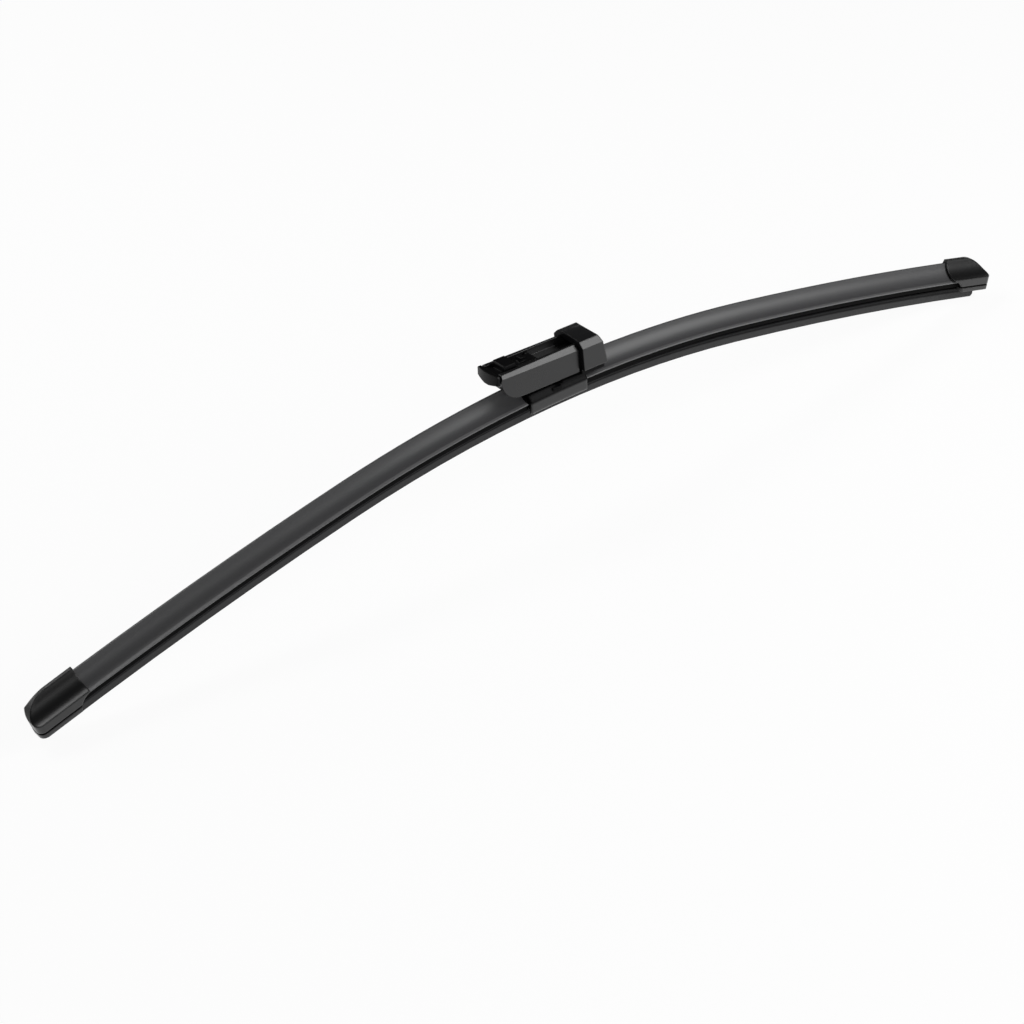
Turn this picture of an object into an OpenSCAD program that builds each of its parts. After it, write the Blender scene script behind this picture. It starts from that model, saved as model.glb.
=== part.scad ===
// Flat car wiper blade with a sprung adaptor for the wiper arm.
// The origin is the middle of the pivot pin, +X runs along the blade, the
// windward side faces -Y and +Z points away from the glass.

/* [Blade] */
// Length of the whole blade along its bow, from cap tip to cap tip
blade_length = 598; // [518:10:678]
// Radius of the bow in the middle of the blade
centre_radius = 650; // [600:10:900]
// Half the length of the middle arc, on each side of the pivot
centre_half = 120; // [90:5:160]
// Radius of the flatter bow towards the two ends
outer_radius = 2100; // [1600:50:3600]

/* [Spring rails] */
// Width of one spring rail
rail_w = 3.4; // [3:0.1:3.6]
// Thickness of one spring rail
rail_t = 0.9; // [0.8:0.05:1]
// Free width between the two rails
rail_gap = 2.4; // [2.2:0.1:2.8]
// How far the rails stop short of the cap tips
rail_inset = 6.5; // [6.25:0.25:8]
// Length of the locking notch near each end of a rail
notch_length = 3; // [2:0.25:4]
// Depth of the locking notch
notch_depth = 0.7; // [0.5:0.1:0.9]

/* [Squeegee] */
// Width of the head above the rails
head_w = 5.4; // [4.6:0.1:5.6]
// Height of the head above the rails
head_h = 1.3; // [1:0.1:1.4]
// Width of the shoulder under the rails
shoulder_w = 6.4; // [6:0.1:6.8]
// Height of the shoulder
shoulder_h = 1.4; // [1:0.1:1.6]
// Thickness of the thin neck that lets the wedge tilt
neck_w = 0.9; // [0.7:0.1:1.2]
// Height of the neck
neck_h = 1.2; // [0.8:0.1:1.5]
// Width of the wedge
wedge_w = 5.6; // [4.8:0.1:6]
// Height of the upright flank of the wedge
wedge_h = 1; // [0.6:0.1:1.4]
// Thickness of the wiping lip
lip_t = 0.7; // [0.6:0.05:0.9]
// Height of the wiping lip
lip_h = 3.4; // [2.6:0.1:4]
// Depth of the lip's edge below the top of the rails
squeegee_depth = 11.1; // [10.8:0.1:12.5]
// How far the rubber stops short of the cap tips
rubber_inset = 3.5; // [3:0.25:6]

/* [Spoiler] */
// Half the width of the spoiler at its foot
spoiler_half = 6.5; // [6.4:0.05:6.8]
// Height of the bead along the foot, above the top of the rails
foot_height = 1.5; // [1.3:0.1:1.8]
// Height of the ridge above the top of the rails
ridge_height = 9.2; // [8.4:0.1:9.8]
// Sideways place of the windward edge of the ridge
ridge_y = 1.9; // [1.5:0.1:2.2]
// Width of the flat on the ridge
ridge_w = 1; // [0.8:0.1:1.3]
// Radius of the hollow windward face
windward_radius = 9.5; // [9:0.1:12]
// Radius of the hollow leeward face
leeward_radius = 14; // [12:0.5:20]
// Wall around the hollow inside the spoiler
spoiler_wall = 1.2; // [1:0.05:1.3]
// Radius of the bead along the windward foot
bead_r = 0.45; // [0.35:0.05:0.6]
// Thickness of the claws under the rails
claw_t = 0.9; // [0.7:0.05:1.1]
// Gap between the left half and the bracket's cover
left_gap = 1.6; // [1:0.2:4]
// Gap between the right half and the bracket's cover
right_gap = 0.6; // [0.4:0.1:2]

/* [End caps] */
// Length of an end cap
cap_length = 28.5; // [26.5:0.5:32]
// Wall of an end cap
cap_wall = 1.2; // [1:0.05:1.4]
// Height of a cap's ridge above the top of the rails
cap_ridge = 11; // [10.9:0.1:11.6]
// Depth of a cap's skirts below the top of the rails
cap_skirt = 4.4; // [4:0.1:5]
// Distance from the tip at which the ridge of a cap starts to fall
cap_fall = 14.5; // [12:0.5:14.5]
// Radius on which it falls
cap_fall_radius = 18.2; // [18:0.2:22]
// Radius of the arch cut into the open end of a skirt
cap_arch = 7.6; // [5.5:0.1:8]
// Radius of the windward corner of a cap's tip, seen from above
cap_corner = 3.5; // [2.5:0.25:5]
// Radius of the leeward corner of a cap's tip, seen from above
cap_rear_corner = 9; // [7:0.25:9.5]
// Depth of the crease above the lower band of a cap
crease_depth = 0.45; // [0.3:0.05:0.6]
// Height of that crease
crease_h = 0.8; // [0.5:0.05:1]
// Place of the crease's top edge, above the top of the rails
crease_top = -1.4; // [-1.7:0.1:-1.2]

/* [Bracket] */
// Length of the steel bracket along the blade
bracket_length = 30; // [28:1:34]
// Thickness of the bracket's steel
steel_t = 1.2; // [1:0.05:1.3]
// Width of each ear at its root
ear_w = 13; // [12:0.25:14]
// Radius of the rounded top of each ear
ear_radius = 4.2; // [3.9:0.05:4.3]
// How far the bracket's cover stands out past the bracket at the left end
cover_left_over = 3.1; // [2:0.1:3.6]
// How far it stands out at the right end
cover_right_over = 0.7; // [0.4:0.1:1.5]
// Radius of the roll along the cover's lower edges
cover_roll = 1.9; // [1.2:0.1:2.2]
// Wall of the bracket's cover
cover_wall = 1.4; // [1.2:0.05:1.5]

/* [Pivot] */
// Diameter of the pivot pin
pin_d = 5; // [4.4:0.1:5.2]
// Length of the pivot pin
pin_length = 13.8; // [13.4:0.1:14]
// Height of the pivot above the top of the rails
pivot_height = 12; // [11.8:0.1:13]
// Wall of the spacer sleeve between the ears
sleeve_wall = 1; // [0.8:0.05:1.2]

/* [Adaptor] */
// Width of the adaptor's body over its cheeks
body_w = 17; // [16.8:0.1:18]
// Thickness of a cheek's lower wall
cheek_t = 2; // [1.9:0.05:2.1]
// Width of the open channel between the cheeks' tops
channel_w = 10.2; // [9.6:0.1:10.8]
// Height of the cheeks' top above the pivot
cheek_top = 10.1; // [9.4:0.1:10.4]
// Depth of the cheeks below the pivot
cheek_drop = 4.2; // [3.8:0.1:4.5]
// Distance from the pivot to the front of the cheeks
cheek_front = 35.9; // [34:0.1:38]
// Chamfer along the top of a cheek at its front end
chamfer_front = 1.5; // [1:0.1:1.8]
// Chamfer at its rear end
chamfer_rear = 2.4; // [2:0.1:2.8]
// Radius at the lower front corner of a cheek
cheek_corner = 12; // [8:0.5:12.5]
// Thickness of the floor between the cheeks
floor_t = 1.4; // [1.2:0.05:1.5]
// Height of the front floor's top above the pivot
front_floor = 3.2; // [2.8:0.1:3.4]
// Radius of the bearing boss around the pin
boss_radius = 4.4; // [4:0.1:4.6]
// Angle by which the nose stands up at rest, in degrees
adaptor_tilt = 1.6; // [0:0.1:2.5]

/* [Rear cover] */
// Distance from the pivot to the step that the arm meets
step_x = 10.4; // [9.5:0.1:11]
// Length of the rear cover behind that step
hood_length = 15.5; // [14:0.25:18]
// Height of the step: how far the cover stands out past the body
step_h = 2.4; // [2:0.1:2.6]
// How far the foot of the step stands back from its top
step_rake = 1.2; // [0.4:0.1:1.6]
// Run of the slope along each top edge of the rear cover
hood_chamfer = 4.2; // [3.6:0.1:4.8]
// Height of that slope
hood_fall = 2.25; // [1.9:0.05:2.6]
// Radius of the crown of the cover's top, across the blade
crown_radius = 45; // [35:1:70]
// Radius of the cover's top rear edge
hood_round = 3; // [2:0.1:3.6]
// How far the cover's back leans forward towards its top
hood_lean = 3.4; // [2.4:0.1:4.4]
// Length of the guide rails that reach forward from the cover
guide_length = 10.6; // [8:0.2:11.4]
// Thickness of a guide rail
guide_t = 1.2; // [1:0.05:1.3]
// Free height of the slot above a guide rail
guide_slot = 1.1; // [1:0.1:1.5]

/* [Latch] */
// Width of the latch lever between the cheeks
lever_w = 6.4; // [5.5:0.1:7]
// Thickness of the latch lever
lever_t = 2.2; // [1.8:0.1:2.4]
// Distance from the pivot to the lever's hinge
hinge_x = 11.5; // [11:0.25:13]
// Radius of the lever's trunnions
trunnion_r = 1.3; // [1.1:0.05:1.4]
// Thickness of the nose plate in front of the cheeks
nose_t = 2.4; // [2:0.1:2.8]
// Radius of its bowed front, seen from above
nose_radius = 28; // [20:1:60]
// Distance from the pivot to the middle of the locking button
button_x = 27.7; // [26.5:0.1:28.5]
// Length of the locking button along the blade
button_length = 7.7; // [6.5:0.1:8.5]
// Width of the locking button
button_w = 8.8; // [7.6:0.1:9]
// Height of the locking button above the cheeks
button_h = 2.1; // [1.6:0.1:2.4]
// Height of the stop lug above the lever
lug_h = 2.1; // [1.4:0.1:2.4]
// Length of the stop lug along the blade
lug_length = 3.6; // [2.8:0.1:4.4]
// Thickness of the leaf spring under the lever
leaf_t = 0.3; // [0.25:0.05:0.4]

/* [Fits] */
// Side play of the rails in the spoiler, bracket and clips
rail_play = 0.12; // [0.08:0.02:0.16]
// Height play of the rails in their grooves
groove_play = 0.08; // [0.05:0.01:0.12]
// Play of the caps on the spoiler
cap_play = 0.25; // [0.2:0.05:0.3]
// Radial play of a pin in its hole
pin_play = 0.06; // [0.03:0.01:0.09]
// Gap between parts that move past each other
run_gap = 0.3; // [0.25:0.05:0.35]

/* [Hidden] */

arc_fn = 720;                 // facets of a full turn along the bow
round_fn = 96;                // facets of the small arcs
through = 60;                 // longer than anything that is cut through
half_length = blade_length / 2;
snap_play = 0.06;             // play of the cover that snaps over the bracket

// Rails: their tops lie at height 0 of the blade's own section
rail_outer = rail_gap / 2 + rail_w;
rail_end = half_length - rail_inset;
channel_half = rail_outer + rail_play;
claw_top = -rail_t - groove_play;
claw_bottom = claw_top - claw_t;
claw_inner = rail_outer - 1;

// Squeegee
rubber_end = half_length - rubber_inset;
web_w = rail_gap - 0.4;
shoulder_bottom = claw_top - shoulder_h;
wedge_top = shoulder_bottom - neck_h;
pocket_half = head_w / 2 + 0.3;
pocket_top = head_h + 0.2;

// End caps and what lies inside them
cap_start = half_length - cap_length;
cap_half = spoiler_half + cap_play + cap_wall;
cap_foot = foot_height + 1.4;
clip_length = 3.4;
clip_wall = 0.6;
clip_start = rail_end - 0.5 - clip_length;
spoiler_end = clip_start - 0.5;

// Bracket
hat_inner = pocket_half + 0.05;
hat_outer = hat_inner + steel_t;
hat_height = pocket_top + 0.25;
flange_bottom = 0.05;
flange_top = flange_bottom + steel_t;
bracket_outer = channel_half + steel_t;
bracket_bottom = claw_top - steel_t;
sleeve_half = hat_inner - 0.05;

// Bracket's cover
cover_inner = bracket_outer + snap_play;
cover_half = cover_inner + cover_wall;
cover_lip_top = bracket_bottom - snap_play;
cover_bottom = cover_lip_top - 3.2;
cover_shoulder = 1.5;
cover_top = hat_height + steel_t + 0.3 + cover_wall;
cover_top_half = hat_outer + 0.9;
cover_left = bracket_length / 2 + cover_left_over;
cover_right = bracket_length / 2 + cover_right_over;
spoiler_left_end = cover_left + left_gap;
spoiler_right_end = cover_right + right_gap;

// Adaptor, measured from the pivot
body_half = body_w / 2;
skirt_y = body_half - cheek_t;
channel_y = channel_w / 2;
rear_floor_bottom = ear_radius + 0.5;
rear_floor_top = rear_floor_bottom + floor_t;
floor_step_x = -ear_w / 2 - 2;
boss_face = hat_outer + run_gap;
bore_end = pin_length / 2 + 0.15;
mouth_w = pin_d * 0.86;

// Rear cover
hood_half = body_half + step_h;
hood_top = cheek_top + step_h - 0.1;
hood_back = step_x + hood_length;
cheek_inner = skirt_y + 0.5;
tail_half = cheek_inner - 0.1;
guide_half = cheek_inner + 2;
guide_top = -cheek_drop - guide_slot;
guide_bottom = guide_top - guide_t;
hood_drop = cheek_drop - 1;
hood_wall = 2;
tail_back = hood_back - hood_lean - hood_wall;

// Latch
lever_bottom = 7;
lever_top = lever_bottom + lever_t;
lever_half = lever_w / 2;
hinge_z = lever_bottom + trunnion_r - 0.3;
trunnion_half = channel_y + 1.1;
nose_front = cheek_front + run_gap + nose_t;
nose_top = cheek_top + 0.2;
lug_x = 19.2;

// Bow: slope in degrees and place of a point at distance s along it
function degrees_of(arc, radius) = arc / radius * 180 / PI;
function slope_right(s) = s <= centre_half ? degrees_of(s, centre_radius)
  : degrees_of(centre_half, centre_radius) + degrees_of(s - centre_half, outer_radius);
function bow_slope(s) = sign(s) * slope_right(abs(s));
function knee_slope() = degrees_of(centre_half, centre_radius);
function right_x(s) = s <= centre_half ? centre_radius * sin(slope_right(s))
  : centre_radius * sin(knee_slope()) + outer_radius * (sin(slope_right(s)) - sin(knee_slope()));
function right_z(s) = s <= centre_half ? centre_radius * (cos(slope_right(s)) - 1)
  : centre_radius * (cos(knee_slope()) - 1) + outer_radius * (cos(slope_right(s)) - cos(knee_slope()));
function bow_x(s) = sign(s) * right_x(abs(s));
function bow_z(s) = right_z(abs(s));

// Middle of the circle of this radius through a and b, on the left of the way from a to b
function arc_middle(a, b, radius) =
  let (d = b - a, span = norm(d), rise = sqrt(radius * radius - span * span / 4))
  (a + b) / 2 + [-d[1], d[0]] / span * rise;

// Puts a piece that is drawn at the middle of the blade at distance s along the bow
module at_bow(s) {
  translate([bow_x(s), 0, bow_z(s)]) rotate([0, bow_slope(s), 0]) children();
}

// Sweeps an upright section around an axis this far below it, towards -X
module bend(radius, angle) {
  rotate([90, 0, 0]) rotate([0, 0, 90]) rotate_extrude(angle = angle, $fn = arc_fn)
    translate([radius, 0]) rotate(-90) children();
}

// Sweeps a section along the right half of the bow. Both arcs are drawn from the knee
// between them, so that they meet there exactly
module right_side(from, to) {
  translate([0, 0, -centre_radius]) rotate([0, knee_slope(), 0]) {
    bend(centre_radius, degrees_of(centre_half - from, centre_radius)) children();
    mirror([1, 0, 0]) translate([0, 0, centre_radius - outer_radius])
      bend(outer_radius, degrees_of(to - centre_half, outer_radius)) children();
  }
}

// Sweeps a section along the bow from one distance to another; the two halves of a
// sweep across the middle run a little into each other
module along(from, to) {
  if (from >= 0) right_side(from, to) children();
  else if (to <= 0) mirror([1, 0, 0]) right_side(-to, -from) children();
  else union() {
    right_side(-1, to) children();
    mirror([1, 0, 0]) right_side(-1, -from) children();
  }
}

// Sweeps a section along the middle of the bow, this far to the left and to the right
module across_middle(left, right) {
  translate([0, 0, -centre_radius]) rotate([0, degrees_of(right, centre_radius), 0])
    bend(centre_radius, degrees_of(left + right, centre_radius)) children();
}

// Draws a section, given across and up, as a bar along X between two places
module bar(from, to) {
  translate([from, 0, 0]) rotate([90, 0, 90]) linear_extrude(to - from) children();
}

// Draws a side view, given along and up, as a plate across Y between two places
module plate(from, to) {
  translate([0, to, 0]) rotate([90, 0, 0]) linear_extrude(to - from) children();
}

// What is left of a square corner at the origin once it is rounded; it fills the first quadrant
module corner_waste(radius) {
  difference() {
    translate([-0.01, -0.01]) square(radius + 0.01);
    translate([radius, radius]) circle(r = radius, $fn = round_fn);
  }
}

module both_sides() {
  children();
  mirror([0, 1, 0]) children();
}

// One flat spring rail, with a locking notch in its outer edge near each end
module spring_rail(side) {
  color("dimgray") difference() {
    along(-rail_end, rail_end)
      translate([side * (rail_gap / 2 + rail_w / 2), -rail_t / 2]) square([rail_w, rail_t], center = true);
    for (end = [-1, 1]) at_bow(end * (clip_start - 4))
      translate([0, side * rail_outer, -rail_t / 2]) cube([notch_length, 2 * notch_depth, 3], center = true);
  }
}

// Section of the rubber: head, web, shoulder, neck, wedge and lip
module squeegee_section() {
  half_section = [
    [0.5, head_h], [head_w / 2 - 0.4, head_h - 0.15], [head_w / 2, head_h - 0.6],
    [head_w / 2, groove_play / 2], [web_w / 2, groove_play / 2], [web_w / 2, claw_top],
    [shoulder_w / 2, claw_top], [shoulder_w / 2, shoulder_bottom + 0.4],
    [shoulder_w / 2 - 0.5, shoulder_bottom], [neck_w / 2, shoulder_bottom],
    [neck_w / 2, wedge_top], [wedge_w / 2, wedge_top - 0.35], [wedge_w / 2, wedge_top - wedge_h],
    [lip_t / 2 + 0.5, lip_h - squeegee_depth + 1.1], [lip_t / 2, lip_h - squeegee_depth],
    [lip_t / 2, -squeegee_depth],
  ];
  count = len(half_section);
  polygon(concat(half_section, [for (i = [count - 1:-1:0]) [-half_section[i][0], half_section[i][1]]]));
}

// The one-piece rubber, its lip cut back at both ends
module squeegee() {
  color("black") difference() {
    along(-rubber_end, rubber_end) squeegee_section();
    for (end = [-1, 1]) at_bow(end * rubber_end)
      translate([0, 0, -squeegee_depth]) rotate([0, 45, 0]) cube([1.6, through, 1.6], center = true);
  }
}

// Outer form of the spoiler's section, grown outwards, down to a given height
module spoiler_form(grow, bottom) {
  foot = [-spoiler_half, foot_height];
  ridge_front = [ridge_y, ridge_height];
  ridge_rear = [ridge_y + ridge_w, ridge_height];
  heel = [spoiler_half, foot_height];
  difference() {
    translate([-spoiler_half - grow, bottom])
      square([2 * (spoiler_half + grow), ridge_height + grow - bottom]);
    translate(arc_middle(foot, ridge_front, windward_radius))
      circle(r = windward_radius - grow, $fn = 2 * round_fn);
    translate(arc_middle(ridge_rear, heel, leeward_radius))
      circle(r = leeward_radius - grow, $fn = 2 * round_fn);
  }
}

// Section of the spoiler: bead along the foot, claws around the rails, pocket for the
// rubber's head and a hollow under the ridge
module spoiler_section() {
  waist = channel_half + 0.75;
  waist_top = foot_height - 0.6;
  hollow_bottom = pocket_top + spoiler_wall;
  difference() {
    spoiler_form(0, claw_bottom);
    for (side = [-1, 1]) {
      translate([side * (waist + 2) - 2, claw_bottom - 1]) square([4, waist_top - claw_bottom + 1]);
    }
    translate([-channel_half, claw_top]) square([2 * channel_half, groove_play - claw_top]);
    translate([-claw_inner, claw_bottom - 1]) square([2 * claw_inner, 2]);
    translate([-pocket_half, claw_top]) square([2 * pocket_half, pocket_top - claw_top]);
    intersection() {
      spoiler_form(-spoiler_wall, hollow_bottom);
      translate([-pocket_half, hollow_bottom - 1]) square([2 * spoiler_half, ridge_height]);
    }
  }
  translate([-spoiler_half + bead_r - 0.08, foot_height - bead_r + 0.05]) circle(r = bead_r, $fn = 32);
}

module spoiler_left() {
  color("#2b2b2b") along(-spoiler_end, -spoiler_left_end) spoiler_section();
}

module spoiler_right() {
  color("#2b2b2b") along(spoiler_right_end, spoiler_end) spoiler_section();
}

// Steel clip that ties the two rails together just inside a cap
module rail_clip(side) {
  color("gray") at_bow(side * (clip_start + clip_length / 2)) bar(-clip_length / 2, clip_length / 2)
    difference() {
      union() {
        translate([-channel_half - clip_wall, claw_top - clip_wall])
          square([2 * (channel_half + clip_wall), clip_wall - claw_top + clip_wall + groove_play]);
        translate([-pocket_half - clip_wall, 0]) square([2 * (pocket_half + clip_wall), pocket_top + clip_wall]);
      }
      translate([-channel_half, claw_top]) square([2 * channel_half, groove_play - claw_top]);
      translate([-pocket_half, claw_top]) square([2 * pocket_half, pocket_top - claw_top]);
      translate([-claw_inner, claw_top - 2]) square([2 * claw_inner, 3]);
    }
}

// Outline of a cap from above, with its tip towards +X and its open end at the origin
module cap_plan(inset) {
  half = cap_half - inset;
  tip = cap_length - inset;
  difference() {
    translate([-2, -half]) square([tip + 2, 2 * half]);
    translate([tip, -half]) mirror([1, 0]) corner_waste(cap_corner - inset);
    translate([tip, half]) mirror([1, 0]) mirror([0, 1]) corner_waste(cap_rear_corner - inset);
  }
}

// Outline of a cap from the side: the ridge falls on an arc, the skirts are arched back
module cap_side() {
  start = cap_length - cap_fall;
  middle_z = cap_ridge - cap_fall_radius + 0.03;
  difference() {
    translate([0, -cap_skirt]) square([cap_length, cap_ridge + cap_skirt]);
    difference() {
      translate([start, middle_z]) square([cap_fall + 2, cap_fall_radius + 2]);
      translate([start, middle_z]) circle(r = cap_fall_radius, $fn = 2 * round_fn);
    }
    translate([-0.5, -cap_skirt - 1.2]) circle(r = cap_arch, $fn = round_fn);
  }
}

// Section of a cap from outside: the hollow of the spoiler over upright skirts
module cap_section() {
  foot = [-cap_half, cap_foot];
  ridge_front = [ridge_y - 0.4, cap_ridge];
  ridge_rear = [ridge_y + ridge_w + 0.5, cap_ridge];
  heel = [cap_half, cap_foot];
  difference() {
    translate([-cap_half, -cap_skirt]) square([2 * cap_half, cap_ridge + cap_skirt]);
    translate(arc_middle(foot, ridge_front, windward_radius)) circle(r = windward_radius, $fn = 2 * round_fn);
    translate(arc_middle(ridge_rear, heel, leeward_radius)) circle(r = leeward_radius, $fn = 2 * round_fn);
  }
}

// Closed cap over the end of the spoiler, the rails and the rubber
module end_cap_form() {
  clip_room = channel_half + clip_wall + cap_play;
  difference() {
    intersection() {
      bar(0, cap_length) cap_section();
      translate([0, 0, -cap_skirt - 1]) linear_extrude(through) cap_plan(0);
      plate(-through / 2, through / 2) cap_side();
    }
    // room for the spoiler, for the clip on the rails' ends and for the rubber
    bar(-1, spoiler_end + 0.5 - cap_start) spoiler_form(cap_play, claw_bottom - cap_play);
    bar(spoiler_end - cap_start, rail_end + 0.5 - cap_start) {
      translate([-clip_room, claw_bottom - cap_play])
        square([2 * clip_room, clip_wall + cap_play - claw_bottom + 1]);
      translate([-pocket_half - clip_wall - cap_play, -1])
        square([2 * (pocket_half + clip_wall + cap_play), pocket_top + clip_wall + cap_play + 1]);
    }
    bar(-1, rubber_end + 0.4 - cap_start) translate([-shoulder_w / 2 - 0.4, -cap_skirt - 1])
      square([shoulder_w + 0.8, cap_skirt + 1 + pocket_top]);
    // crease that sets off the lower band, around the tip
    translate([0, 0, crease_top - crease_h]) linear_extrude(crease_h) difference() {
      translate([-1, -through / 2]) square([through, through]);
      cap_plan(crease_depth);
    }
  }
}

module end_cap_right() {
  color("#171717") at_bow(half_length - cap_length / 2) translate([-cap_length / 2, 0, 0]) end_cap_form();
}

module end_cap_left() {
  mirror([1, 0, 0]) end_cap_right();
}

// Section of the steel bracket: flanges on the rails, hat over the rubber's head, claws below
module bracket_section() {
  difference() {
    union() {
      translate([-bracket_outer, bracket_bottom]) square([2 * bracket_outer, flange_top - bracket_bottom]);
      translate([-hat_outer, 0]) square([2 * hat_outer, hat_height + steel_t]);
    }
    translate([-channel_half, claw_top]) square([2 * channel_half, flange_bottom - claw_top]);
    translate([-hat_inner, claw_top]) square([2 * hat_inner, hat_height - claw_top]);
    translate([-claw_inner, bracket_bottom - 1]) square([2 * claw_inner, 3]);
    for (side = [-1, 1]) scale([side, 1]) {
      translate([bracket_outer, flange_top]) mirror([1, 0]) mirror([0, 1]) corner_waste(steel_t * 0.8);
      translate([bracket_outer, bracket_bottom]) mirror([1, 0]) corner_waste(steel_t * 0.8);
    }
  }
}

// Side view of an ear, from its root on the hat to the pivot
module ear_side() {
  root = hat_height + steel_t - 0.2;
  shoulder = root + 1.2;
  // the flanks meet the rounded top a little above its middle
  top_half = ear_radius * cos(20);
  top_z = pivot_height + ear_radius * sin(20);
  translate([0, pivot_height]) circle(r = ear_radius, $fn = round_fn);
  polygon([
    [-ear_w / 2, root], [ear_w / 2, root], [ear_w / 2, shoulder],
    [top_half, top_z], [-top_half, top_z], [-ear_w / 2, shoulder],
  ]);
}

// Stamped steel bracket that clamps the rails and carries the pivot pin in two ears
module bracket() {
  window = bracket_length * 0.3;
  color("#3a3a3c") difference() {
    union() {
      across_middle(bracket_length / 2, bracket_length / 2) bracket_section();
      both_sides() plate(hat_inner, hat_outer) ear_side();
    }
    // windows that part the claws into pairs
    both_sides() translate([-window / 2, hat_outer + 0.6, bracket_bottom - 1])
      cube([window, through, flange_top - bracket_bottom + 2]);
    translate([0, through / 2, pivot_height]) rotate([90, 0, 0])
      cylinder(r = pin_d / 2 + 0.01, h = through, $fn = round_fn);
  }
}

// Section of the moulded cover that hides the bracket and clips under its claws
module cover_section() {
  hook = 1;
  difference() {
    polygon([
      [-cover_half, cover_bottom], [-cover_half, cover_shoulder], [-cover_top_half, cover_top],
      [cover_top_half, cover_top], [cover_half, cover_shoulder], [cover_half, cover_bottom],
    ]);
    for (side = [-1, 1]) scale([side, 1])
      translate([cover_half, cover_bottom]) mirror([1, 0]) corner_waste(cover_roll);
    translate([-cover_inner, cover_lip_top]) square([2 * cover_inner, flange_top + snap_play - cover_lip_top]);
    translate([-hat_outer - 0.1, 0]) square([2 * hat_outer + 0.2, hat_height + steel_t + 0.3]);
    translate([-claw_inner - 0.3, cover_bottom - 1]) square([2 * claw_inner + 0.6, 5]);
    translate([-cover_half + cover_roll + 0.1, cover_bottom - 1])
      square([2 * (cover_half - cover_roll - 0.1), cover_lip_top - hook - cover_bottom + 1]);
  }
}

module bracket_cover() {
  stop_length = 4.9;
  stop_h = 1.3;
  stop_x = -4.6;
  color("#1c1c1c") {
    difference() {
      across_middle(cover_left, cover_right) cover_section();
      // opening for the two ears
      translate([-ear_w / 2 - 0.4, -hat_outer - 0.15, hat_height])
        cube([ear_w + 0.8, 2 * hat_outer + 0.3, through]);
    }
    // stops on the flanks that limit the swing of the adaptor
    both_sides() translate([stop_x, cover_top_half, cover_shoulder + 0.8])
      cube([stop_length, cover_half - cover_top_half - 0.4, stop_h]);
  }
}

// Steel pin through the ears, its ends chamfered
module pivot_pin() {
  chamfer = 0.5;
  half = pin_length / 2;
  color("silver") translate([0, 0, pivot_height]) rotate([90, 0, 0]) rotate_extrude($fn = round_fn)
    polygon([
      [0, -half], [pin_d / 2 - chamfer, -half], [pin_d / 2, -half + chamfer],
      [pin_d / 2, half - chamfer], [pin_d / 2 - chamfer, half], [0, half],
    ]);
}

// Plastic sleeve that keeps the ears apart and carries the pin between them
module spacer_sleeve() {
  inner = pin_d / 2 + pin_play;
  color("#d8d4c8") translate([0, sleeve_half, pivot_height]) rotate([90, 0, 0]) difference() {
    cylinder(r = inner + sleeve_wall, h = 2 * sleeve_half, $fn = round_fn);
    translate([0, 0, -1]) cylinder(r = inner, h = 2 * sleeve_half + 2, $fn = round_fn);
  }
}

// Puts a piece that is drawn around the pivot in its place, with the adaptor's tilt
module at_pivot() {
  translate([0, 0, pivot_height]) rotate([0, adaptor_tilt, 0]) children();
}

// Side view of the cheeks
module cheek_side() {
  difference() {
    translate([-cheek_front, -cheek_drop]) square([cheek_front + step_x, cheek_top + cheek_drop]);
    translate([-cheek_front, -cheek_drop]) corner_waste(cheek_corner);
    polygon([
      [-cheek_front - 1, cheek_top + 1], [-cheek_front - 1, cheek_top - 2.5],
      [-cheek_front, cheek_top - 2.5], [-cheek_front + 1, cheek_top], [-cheek_front + 1, cheek_top + 1],
    ]);
  }
}

// Waste of the chamfer along the top of the windward cheek. It widens evenly towards the
// back, so its face and the cheek's top edge meet at a point in front of the adaptor
module chamfer_waste() {
  run = cheek_front + step_x;
  growth = chamfer_rear - chamfer_front;
  lead = run * chamfer_front / growth;
  waste = 8;
  translate([-cheek_front - lead, -body_half, cheek_top]) rotate([45, 0, 0])
    rotate([0, atan(growth / (run * sqrt(2))), 0]) translate([0, -waste / 2, 0])
    cube([lead + run + waste, waste, waste]);
}

// Bearing boss inside a cheek, joined upwards to the floor
module bearing_boss() {
  plate(boss_face, skirt_y + 0.5) {
    circle(r = boss_radius, $fn = round_fn);
    translate([-boss_radius, 0]) square([2 * boss_radius, rear_floor_bottom + 0.5]);
  }
}

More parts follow.
